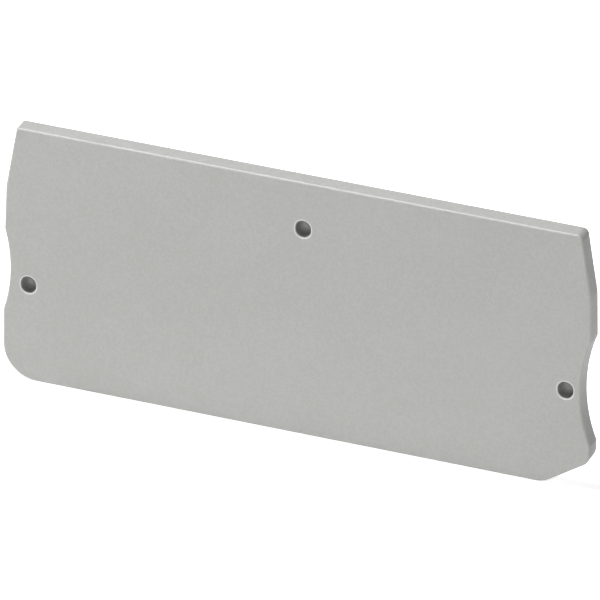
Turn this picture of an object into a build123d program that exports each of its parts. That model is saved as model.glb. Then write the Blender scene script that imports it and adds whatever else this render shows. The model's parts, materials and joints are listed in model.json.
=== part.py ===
from build123d import *

import os

# Terminal block end cover: one flat moulded plate that closes the open side of a row of
# rail-mounted terminal blocks.
# X runs along the plate, Y from the smooth front face to the block behind it, Z up.
# The origin lies on the back face, half way between the two outer pins.

# Plate, in millimetres
plate_length = 60.5
plate_height = 27.4
plate_thickness = 1.8
front_round = 0.2

# How far the sides stand back from the full length, from the top edge down
top_setback = 1.4
knee_setback = 0.3
bulge_setback = 0.15

# Heights above the bottom edge
knee_height = 20.9
bulge_foot_height = 16.2
left_lobe_height = 7.3
right_lobe_height = 4.8

# Side notches, corners and the bevel at the lower right
notch_radius = 16.0
top_left_round = 0.2
top_right_round = 0.6
lower_left_round = 3.5
bevel_length = 4.7
bevel_height = 3.1
bevel_top_round = 1.5
bevel_foot_round = 2.5
lobe_round = 0.2
side_softening = 0.6

# Pins on the back, with the sink that cores each one out from the front. The outer two stand
# so far above the bottom edge, the middle one so far below the top edge.
pin_line_height = 10.5
outer_pin_setback = 2.65
middle_pin_shift = 0.7
middle_pin_drop = 5.0
pin_diameter = 2.0
pin_length = 1.2
pin_lead_in = 0.2
sink_width = 1.56
sink_length = 1.78
sink_depth = 1.5
sink_rim_round = 0.12
sink_bottom_round = 0.6

# Sketch planes whose origin is the middle of the bottom edge: one on the back face and one on
# the front face, both looking forward
bottom_middle = (0, 0, -pin_line_height)
back_plane = Plane(origin=bottom_middle, x_dir=(1, 0, 0), z_dir=(0, -1, 0))
front_plane = back_plane.offset(plate_thickness)

# Where the plate ends on either side, and how far out the outer pins stand
side = plate_length / 2
outer_pin = side - outer_pin_setback

# Corners of the outline, as distance from the middle and height above the bottom edge
top_left = (top_setback - side, plate_height)
top_right = (side - top_setback, plate_height)
left_knee = (knee_setback - side, knee_height)
right_knee = (side - knee_setback, knee_height)
left_bulge_foot = (bulge_setback - side, bulge_foot_height)
right_bulge_foot = (side - bulge_setback, bulge_foot_height)
left_lobe = (-side, left_lobe_height)
right_lobe = (side, right_lobe_height)
lower_left = (-side, 0)
bevel_foot = (side - bevel_length, 0)
bevel_top = (side, bevel_height)

pin_centres = [
    (-outer_pin, pin_line_height),
    (middle_pin_shift, plate_height - middle_pin_drop),
    (outer_pin, pin_line_height),
]


def nearest(vertices, *places):
    """The sketch corner nearest to each of the given places."""
    return [vertices.sort_by_distance(place)[0] for place in places]


with BuildPart() as end_cover:
    # The outline: straight top, flared shoulders, an arc-shaped notch in each side, a round
    # lower left corner and a bevelled lower right one
    with BuildSketch(back_plane) as outline:
        with BuildLine():
            Polyline(left_bulge_foot, left_knee, top_left, top_right, right_knee, right_bulge_foot)
            RadiusArc(right_bulge_foot, right_lobe, -notch_radius)
            Polyline(right_lobe, bevel_top, bevel_foot, lower_left, left_lobe)
            RadiusArc(left_lobe, left_bulge_foot, -notch_radius)
        make_face()
        fillet(nearest(outline.vertices(), lower_left), lower_left_round)
        fillet(nearest(outline.vertices(), top_left), top_left_round)
        fillet(nearest(outline.vertices(), top_right), top_right_round)
        fillet(nearest(outline.vertices(), bevel_top), bevel_top_round)
        fillet(nearest(outline.vertices(), bevel_foot), bevel_foot_round)
        fillet(nearest(outline.vertices(), right_lobe), lobe_round)
        soft_corners = (left_knee, right_knee, left_bulge_foot, right_bulge_foot, left_lobe)
        fillet(nearest(outline.vertices(), *soft_corners), side_softening)
    extrude(amount=plate_thickness)

    # The front edge is rounded all the way round, the edge against the block stays sharp
    front_face = end_cover.faces().sort_by(Axis.Y)[0]
    fillet(front_face.edges(), front_round)

    # Each pin is cored out from the front by a blind sink, a little taller than wide, with a
    # dished bottom and a rounded rim
    with BuildSketch(front_plane):
        with Locations(*pin_centres):
            SlotOverall(sink_length, sink_width, rotation=90)
    extrude(amount=-sink_depth, mode=Mode.SUBTRACT)
    sink_bottoms = end_cover.edges(Select.LAST).group_by(Axis.Y)[-1]
    fillet(sink_bottoms, sink_bottom_round)
    front_face = end_cover.faces().sort_by(Axis.Y)[0]
    rims = [edge for wire in front_face.inner_wires() for edge in wire.edges()]
    fillet(rims, sink_rim_round)

    # Round locating pins on the back, with a lead-in at the tip
    with BuildSketch(back_plane):
        with Locations(*pin_centres):
            Circle(pin_diameter / 2)
    extrude(amount=-pin_length)
    pin_tips = end_cover.faces().group_by(Axis.Y)[-1]
    chamfer(pin_tips.edges(), pin_lead_in)

end_cover.part.label = "end_cover"

os.makedirs("parts", exist_ok=True)
export_step(end_cover.part, "parts/end_cover.step")
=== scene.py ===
# %% [markdown]
# # Terminal block end cover
# A row of terminal blocks on a rail is open on one side: the last block shows its inner
# metal. The end cover is the thin plastic plate that pins onto that side and closes it.
# It is moulded in one go, in one light grey plastic, so there is only one piece to dress.
# Its shape is already right in the CAD model. This script adds what a solid can't carry:
# the finish that the mould leaves on the plastic, a floor, the light and a camera.

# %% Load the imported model
import json
import math

import bmesh
import bpy
from mathutils import Matrix, Vector

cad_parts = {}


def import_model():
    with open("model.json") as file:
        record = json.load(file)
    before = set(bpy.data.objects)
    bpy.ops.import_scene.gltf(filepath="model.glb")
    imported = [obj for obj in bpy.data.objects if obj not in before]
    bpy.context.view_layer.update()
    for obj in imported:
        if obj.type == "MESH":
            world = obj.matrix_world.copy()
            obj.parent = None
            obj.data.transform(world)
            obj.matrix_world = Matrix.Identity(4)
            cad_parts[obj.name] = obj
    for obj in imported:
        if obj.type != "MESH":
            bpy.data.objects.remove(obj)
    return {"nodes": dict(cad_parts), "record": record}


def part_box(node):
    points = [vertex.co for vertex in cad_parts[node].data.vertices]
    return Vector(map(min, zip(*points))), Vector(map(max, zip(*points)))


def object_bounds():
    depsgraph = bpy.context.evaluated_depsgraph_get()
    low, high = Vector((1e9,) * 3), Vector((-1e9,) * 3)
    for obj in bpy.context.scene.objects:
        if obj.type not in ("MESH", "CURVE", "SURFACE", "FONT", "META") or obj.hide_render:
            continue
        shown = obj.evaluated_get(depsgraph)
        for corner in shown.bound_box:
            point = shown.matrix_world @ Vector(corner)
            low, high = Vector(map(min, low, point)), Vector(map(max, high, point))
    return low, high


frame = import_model()
cad_low, cad_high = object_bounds()
cover = frame["nodes"]["end_cover"]

# %% Read the size of the plate
# Blender counts in metres and a mould maker in millimetres, so one name stands for 1 mm.
mm = 0.001

plate_low, plate_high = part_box("end_cover")
size_mm = [round(side / mm, 2) for side in plate_high - plate_low]
front_mm = plate_low.y / mm
print("cover, pins included:", size_mm, "mm; front face at y =", round(front_mm, 2), "mm")

# %% [markdown]
# ## The camera
# The plate was photographed from its right and from above, with a long lens far away: its
# top and bottom edges stay almost parallel in the picture. The easy way would be to drag a
# camera about until it looks right. Here its place follows from the picture instead: the
# directions of the plate's edges give the angles, and the little that they close in on each
# other gives the distance. A lens this long makes the plate look flat and calm.

# %% Camera values
view_azimuth = 20.73  # degrees to the right of straight on
view_elevation = 28.65  # degrees above level
view_roll = 0.76  # degrees that the camera leans
view_distance = 1067.5 * mm
picture_middle = Vector((0.496, -1.8, 4.181)) * mm  # the place seen in the picture's middle
sensor_width = 36
lens_length = 669.2  # in the sensor's units

# %% Make the camera
# The three columns of the matrix are the camera's right, its up and the way back from what
# it looks at, so nothing is left to a constraint or to a rotation order.
turn, rise, lean = (math.radians(a) for a in (view_azimuth, view_elevation, view_roll))
back = Vector((math.sin(turn) * math.cos(rise), -math.cos(turn) * math.cos(rise), math.sin(rise)))
level_right = Vector((math.cos(turn), math.sin(turn), 0))
level_up = back.cross(level_right)
right = level_right * math.cos(lean) + level_up * math.sin(lean)
up = back.cross(right)

camera_data = bpy.data.cameras.new("photo_camera")
camera_data.sensor_width = sensor_width
camera_data.lens = lens_length
camera_data.clip_start, camera_data.clip_end = 0.05, 20
camera = bpy.data.objects.new("photo_camera", camera_data)
bpy.context.scene.collection.objects.link(camera)
turned = Matrix((right, up, back)).transposed().to_4x4()
camera.matrix_world = Matrix.Translation(picture_middle + back * view_distance) @ turned
bpy.context.scene.camera = camera
print("camera at", [round(v / mm) for v in camera.matrix_world.translation], "mm")

# %% [markdown]
# ## The moulded plastic
# The plate is plain plastic, coloured right through. Nothing is painted or printed on it,
# so the whole look comes from how the mould was finished. Its big faces were eroded by
# sparks, which leaves a very fine, even grain that takes the shine away. The rounded edges,
# and the turned pins that shape the three sinks, are smoother and catch the light. One
# could draw that grain into the mesh, but it is a few hundredths of a millimetre deep. A
# bump built from noise does it better, and costs no faces.

# %% Small helpers for material nodes
def node(tree, kind, sockets=None, **settings):
    """Adds a node, gives it its settings, and fills or links its sockets."""
    made = tree.nodes.new(kind)
    for name, value in settings.items():
        setattr(made, name, value)
    for name, value in (sockets or {}).items():
        if isinstance(value, bpy.types.NodeSocket):
            tree.links.new(value, made.inputs[name])
        else:
            made.inputs[name].default_value = value
    return made


def reckon(tree, operation, first, second=0):
    """One step of arithmetic on two values."""
    return node(tree, "ShaderNodeMath", {0: first, 1: second}, operation=operation).outputs[0]


def remap(tree, value, low, high, to_low, to_high):
    """Turns values from low to high softly into values from to_low to to_high."""
    made = node(
        tree,
        "ShaderNodeMapRange",
        {"Value": value, "From Min": low, "From Max": high, "To Min": to_low, "To Max": to_high},
        interpolation_type="SMOOTHSTEP",
    )
    return made.outputs["Result"]


def noise(tree, at, scale, detail, roughness):
    """Soft noise at the coordinates at, with about scale features to their unit."""
    sockets = {"Vector": at, "Scale": scale, "Detail": detail, "Roughness": roughness}
    return node(tree, "ShaderNodeTexNoise", sockets).outputs["Fac"]


def spread(tree, soft_noise, to_low, to_high):
    """Noise, which hardly leaves the values 0.3 to 0.7, spread from to_low to to_high."""
    return remap(tree, soft_noise, 0.3, 0.7, to_low, to_high)


def blend(tree, share, plain, other):
    """The colour plain, with so much of the colour other in it."""
    sockets = {"Factor": share, "A": plain, "B": other}
    return node(tree, "ShaderNodeMix", sockets, data_type="RGBA").outputs["Result"]


def empty_material(name):
    """A material with nothing in it but its output node."""
    material = bpy.data.materials.new(name)
    material.use_nodes = True
    material.node_tree.nodes.clear()
    output = node(material.node_tree, "ShaderNodeOutputMaterial")
    return material, material.node_tree, output.inputs["Surface"]


# %% Start the plastic, with its coordinates in millimetres
plastic, tree, plastic_surface = empty_material("moulded_light_grey_plastic")
place = node(tree, "ShaderNodeTexCoord").outputs["Object"]
in_mm = node(
    tree, "ShaderNodeVectorMath", {0: place, "Scale": 1 / mm}, operation="SCALE"
).outputs["Vector"]
along = node(tree, "ShaderNodeSeparateXYZ", {"Vector": in_mm}).outputs
print("material:", plastic.name)

# %% [markdown]
# ### Where the plastic is grained and where it is smooth
# Every place on a moulded part has its own finish, after the piece of the mould that made
# it. Painting a mask by hand would tie the material to one mesh. Three plain questions do
# the same: how far is a point from the wall of the nearest sink, how far behind the front
# face, and is it on the back?

# %% How far a point is from the wall of a sink
# A sink is a short upright slot: two half circles with a little straight wall between them.
# Taking that straight part out of the height leaves the distance from one circle.
slot_radius = 0.78
slot_straight = 0.11  # half of the straight wall


def from_sink(x, z):
    """Distance in mm from the wall of the sink at x and z, below zero inside it."""
    across = reckon(tree, "SUBTRACT", along["X"], x)
    height = reckon(tree, "ABSOLUTE", reckon(tree, "SUBTRACT", along["Z"], z))
    beyond = reckon(tree, "MAXIMUM", reckon(tree, "SUBTRACT", height, slot_straight))
    flat = node(tree, "ShaderNodeCombineXYZ", {"X": across, "Y": beyond}).outputs[0]
    reach = node(tree, "ShaderNodeVectorMath", {0: flat}, operation="LENGTH").outputs["Value"]
    return reckon(tree, "SUBTRACT", reach, slot_radius)


pins = {m["name"]: m["pos_m"] for m in frame["record"]["mounts"] if m["kind"] == "pin"}
first, second, third = (from_sink(x / mm, z / mm) for x, _, z in pins.values())
sink_wall = reckon(tree, "MINIMUM", reckon(tree, "MINIMUM", first, second), third)
print("sinks over the pins at", [[round(v / mm, 2) for v in at] for at in pins.values()], "mm")

# %% What a mask is made of
# Both steps are soft, over a tenth of a millimetre or so: no finish ends in a hard line.
def past(distance, start, end):
    """0 up to the distance start, and 1 from the distance end on."""
    return remap(tree, distance, start, end, 0, 1)


def before(distance, start, end):
    """1 up to the distance start, and 0 from the distance end on."""
    return remap(tree, distance, start, end, 1, 0)


def product(first, *others):
    """All the values multiplied."""
    for other in others:
        first = reckon(tree, "MULTIPLY", first, other)
    return first


# %% Masks for the sinks and their rims
sink_depth = 1.5
rim_width = 0.12
behind_front = reckon(tree, "SUBTRACT", along["Y"], front_mm)

in_sink = product(
    before(sink_wall, 0.04, 0.08),
    past(behind_front, 0.1, 0.2),
    before(behind_front, sink_depth + 0.05, sink_depth + 0.2),
)
on_rim = product(
    past(sink_wall, 0, 0.03),
    before(sink_wall, rim_width, rim_width + 0.05),
    before(behind_front, 0.1, 0.15),
)
print("sinks", sink_depth, "mm deep, with rims", rim_width, "mm wide")

# %% Masks for the rounded front edge, the back and the pins
# The origin lies on the back face, so Y is the distance behind it.
edge_end = 0.22
on_edge = product(past(behind_front, 0.004, 0.03), before(behind_front, 0.14, edge_end))
on_back = past(along["Y"], -0.04, -0.01)
on_pin = past(along["Y"], 0.03, 0.12)
print("smoother edge: the first", edge_end, "mm behind the front face")

# %% [markdown]
# ### The spark-eroded grain
# Spark erosion leaves overlapping pits of two or three tenths of a millimetre. A noise with
# a second octave has the same even look, without a direction. A coarser noise mixed into it
# keeps it from looking like one repeated stamp. Where a pin or a polished edge of the mould
# shaped the plastic, and on the hidden back, less of the grain is left.

# %% The pits
pits_per_mm = 3.7
broad_pits_per_mm = 1.1
broad_share = 0.3
fine_pits = noise(tree, in_mm, pits_per_mm, 1.0, 0.5)
broad_pits = noise(tree, in_mm, broad_pits_per_mm, 2.0, 0.5)
pits = node(
    tree, "ShaderNodeMix", {"Factor": broad_share, "A": fine_pits, "B": broad_pits}
).outputs["Result"]
print("grain: a pit every", round(1 / pits_per_mm, 2), "mm")

# %% How much of the grain is left in each place
grain_in_sink = 0.25
grain_on_edge = 0.4
grain_on_back = 0.5
grain_left = product(
    remap(tree, in_sink, 0, 1, 1, grain_in_sink),
    remap(tree, on_edge, 0, 1, 1, grain_on_edge),
    remap(tree, on_back, 0, 1, 1, grain_on_back),
)
print("grain left:", grain_in_sink, "in a sink,", grain_on_edge, "on the rounded edge")

# %% Bump
grain_depth = 0.05 * mm
sockets = {"Strength": 1.0, "Distance": grain_depth, "Height": product(pits, grain_left)}
skin_bump = node(tree, "ShaderNodeBump", sockets).outputs["Normal"]
print("grain: up to", round(grain_depth / mm, 2), "mm deep")

# %% [markdown]
# ### Colour and gloss
# A plastic that is coloured through hardly varies, yet no moulded face is one flat grey.
# The melt leaves very faint clouds, and the bottoms of the pits get a touch of painted
# shade. Deep in a sink the colour is darker still, which is painted shade, and the rim round
# it gets a paler colour, a painted highlight. So does the rounded front edge, but hardly. The
# gloss
# follows the finish: the grained faces are matt, the rounded edges, the rims, the sinks and
# the pins less so, and the back lies between.

# %% Colour of the grained faces
grey_dark = (0.452, 0.453, 0.438, 1)
grey_light = (0.486, 0.486, 0.474, 1)
clouds_per_mm = 0.07
clouds = spread(tree, noise(tree, in_mm, clouds_per_mm, 2.0, 0.5), 0.25, 0.75)
# The pit bottoms come out darker in colour: painted shade in the pits.
painted_pit_shade = spread(tree, fine_pits, -0.45, 0.45)
grey = blend(tree, reckon(tree, "ADD", clouds, painted_pit_shade), grey_dark, grey_light)
print("plastic between", grey_dark[:3], "and", grey_light[:3])

# %% Painted shade in the sinks, and a painted highlight on their rims and on the rounded edge
# The darker grey deep in a sink is painted shade.
painted_sink_shade = (0.304, 0.314, 0.285, 1)
painted_rim_highlight = (0.79, 0.79, 0.77, 1)
sink_shade_share = 0.65
edge_highlight_share = 0.12
# The paler grey on the rims, and a little of it on the rounded edge, is a painted highlight.
pale = reckon(tree, "MAXIMUM", product(on_edge, edge_highlight_share), on_rim)
grey = blend(tree, product(in_sink, sink_shade_share), grey, painted_sink_shade)
grey = blend(tree, pale, grey, painted_rim_highlight)
print("share of the sinks' grey:", sink_shade_share, "and of the rims' grey on the edge:", edge_highlight_share)

# %% Gloss
matt_low, matt_high = 0.5, 0.58
smoother_by = 0.2
back_share = 0.4
matt_areas_per_mm = 0.5
matt = spread(tree, noise(tree, in_mm, matt_areas_per_mm, 3.0, 0.55), matt_low, matt_high)
smooth = product(on_back, back_share)
for mask in (on_pin, in_sink, on_edge, on_rim):
    smooth = reckon(tree, "MAXIMUM", smooth, mask)
roughness = reckon(tree, "SUBTRACT", matt, product(smooth, smoother_by))
print("roughness", matt_low, "to", matt_high, "and less by", smoother_by, "where smooth")

# %% Put the plastic together
skin = node(
    tree,
    "ShaderNodeBsdfPrincipled",
    {"Base Color": grey, "Roughness": roughness, "IOR": 1.5, "Normal": skin_bump},
)
tree.links.new(skin.outputs["BSDF"], plastic_surface)
for slot in cover.material_slots:
    slot.material = plastic
print("dressed:", cover.name, "with", [slot.material.name for slot in cover.material_slots])

# %% [markdown]
# ## Floor and background
# In a catalogue picture the background is plain white and the object seems to float. A
# floor that is lit until it is white would throw all that light back onto the plate. So the
# floor is a pale sheet that keeps the plate's soft shadow, and only rays that come from the
# camera, or by way of a reflection or glass, see it brighter. The air round it does the
# same: white to look at, dim as a light.

# %% What tells a look from a light
def looked_at(tree):
    """1 for a ray from the camera, a reflection or a transmission, and 0 for the rest."""
    rays = node(tree, "ShaderNodeLightPath").outputs
    direct = reckon(tree, "MAXIMUM", rays["Is Camera Ray"], rays["Is Glossy Ray"])
    return reckon(tree, "MAXIMUM", direct, rays["Is Transmission Ray"])


# %% The floor sheet
floor_half = 4.0  # metres from its middle to each side
sheet = bmesh.new()
bmesh.ops.create_grid(sheet, x_segments=1, y_segments=1, size=floor_half)
bmesh.ops.translate(sheet, verts=sheet.verts, vec=(0, 0, cad_low.z))
floor_mesh = bpy.data.meshes.new("studio_floor")
sheet.to_mesh(floor_mesh)
sheet.free()
floor = bpy.data.objects.new("studio_floor", floor_mesh)
bpy.context.scene.collection.objects.link(floor)
print("floor under the plate at z =", round(cad_low.z / mm, 2), "mm")

# %% The floor's paper
paper_colour = (0.87, 0.87, 0.86, 1)
paper_glow = 0.8  # what the camera sees on top of the light that the paper sends back
plain_white = (1, 1, 1, 1)

paper, tree, paper_surface = empty_material("floor_paper")
plain_paper = node(tree, "ShaderNodeBsdfDiffuse", {"Color": paper_colour}).outputs[0]
sockets = {"Color": plain_white, "Strength": paper_glow}
glow = node(tree, "ShaderNodeEmission", sockets).outputs[0]
brighter = node(tree, "ShaderNodeAddShader", {0: plain_paper, 1: glow}).outputs[0]
sockets = {"Fac": looked_at(tree), 1: plain_paper, 2: brighter}
tree.links.new(node(tree, "ShaderNodeMixShader", sockets).outputs[0], paper_surface)
floor_mesh.materials.append(paper)
print("floor:", paper.name, paper_colour[:3])

# %% The air
air_as_light, air_as_seen = 0.06, 1.0

world = bpy.data.worlds.new("studio_air")
world.use_nodes = True
bpy.context.scene.world = world
tree = world.node_tree
tree.nodes.clear()
sockets = {"Color": plain_white, "Strength": air_as_light}
dim = node(tree, "ShaderNodeBackground", sockets).outputs[0]
sockets = {"Color": plain_white, "Strength": air_as_seen}
white = node(tree, "ShaderNodeBackground", sockets).outputs[0]
sockets = {"Fac": looked_at(tree), 1: dim, 2: white}
air = node(tree, "ShaderNodeMixShader", sockets).outputs[0]
node(tree, "ShaderNodeOutputWorld", {"Surface": air})
print("air:", air_as_light, "as a light and", air_as_seen, "to look at")

# %% [markdown]
# ## The light
# The photograph tells where its lamps stood. The top edge is lighter than the face and the
# rounded edge below it lighter still, so the main soft lamp hung nearly overhead. The walls
# of the sinks are dark and their bottoms less so, so the face got its light from low in
# front. It fades a little from left to right, as it does beside a small lamp close to its
# left end. The notch in the right side is lighter where it faces down: that is the pale
# floor, shining back. The same few lamps are set up here, and one more behind the plate
# keeps its back readable in other views.

# %% The lamps
def soft_lamp(name, at, width, power):
    """A square soft lamp that faces the plate. The camera doesn't see the lamp itself."""
    data = bpy.data.lights.new(name, "AREA")
    data.shape = "SQUARE"
    data.size = width
    data.energy = power
    lamp = bpy.data.objects.new(name, data)
    bpy.context.scene.collection.objects.link(lamp)
    at = Vector(at)
    lamp.matrix_world = Matrix.Translation(at) @ at.to_track_quat("Z", "Y").to_matrix().to_4x4()
    lamp.visible_camera = False
    print(name, power, "W from", round(at.length / mm), "mm")


# Place and width in metres, power in watts. The origin is in the middle of the plate's back.
soft_lamp("overhead_lamp", (-0.54, -0.07, 1.44), 0.54, 21.2)
soft_lamp("front_right_lamp", (0.2, -0.86, 0.1), 0.3, 2.15)
soft_lamp("left_lamp", (-0.22, -0.23, 0.04), 0.09, 0.2)
soft_lamp("rear_lamp", (-0.35, 0.8, 0.05), 0.2, 2.2)

# %% [markdown]
# ## The colours
# The picture shows colours as they are, with no film look.

# %% Colours as they are
bpy.context.scene.view_settings.view_transform = "Standard"
print("view transform:", bpy.context.scene.view_settings.view_transform)
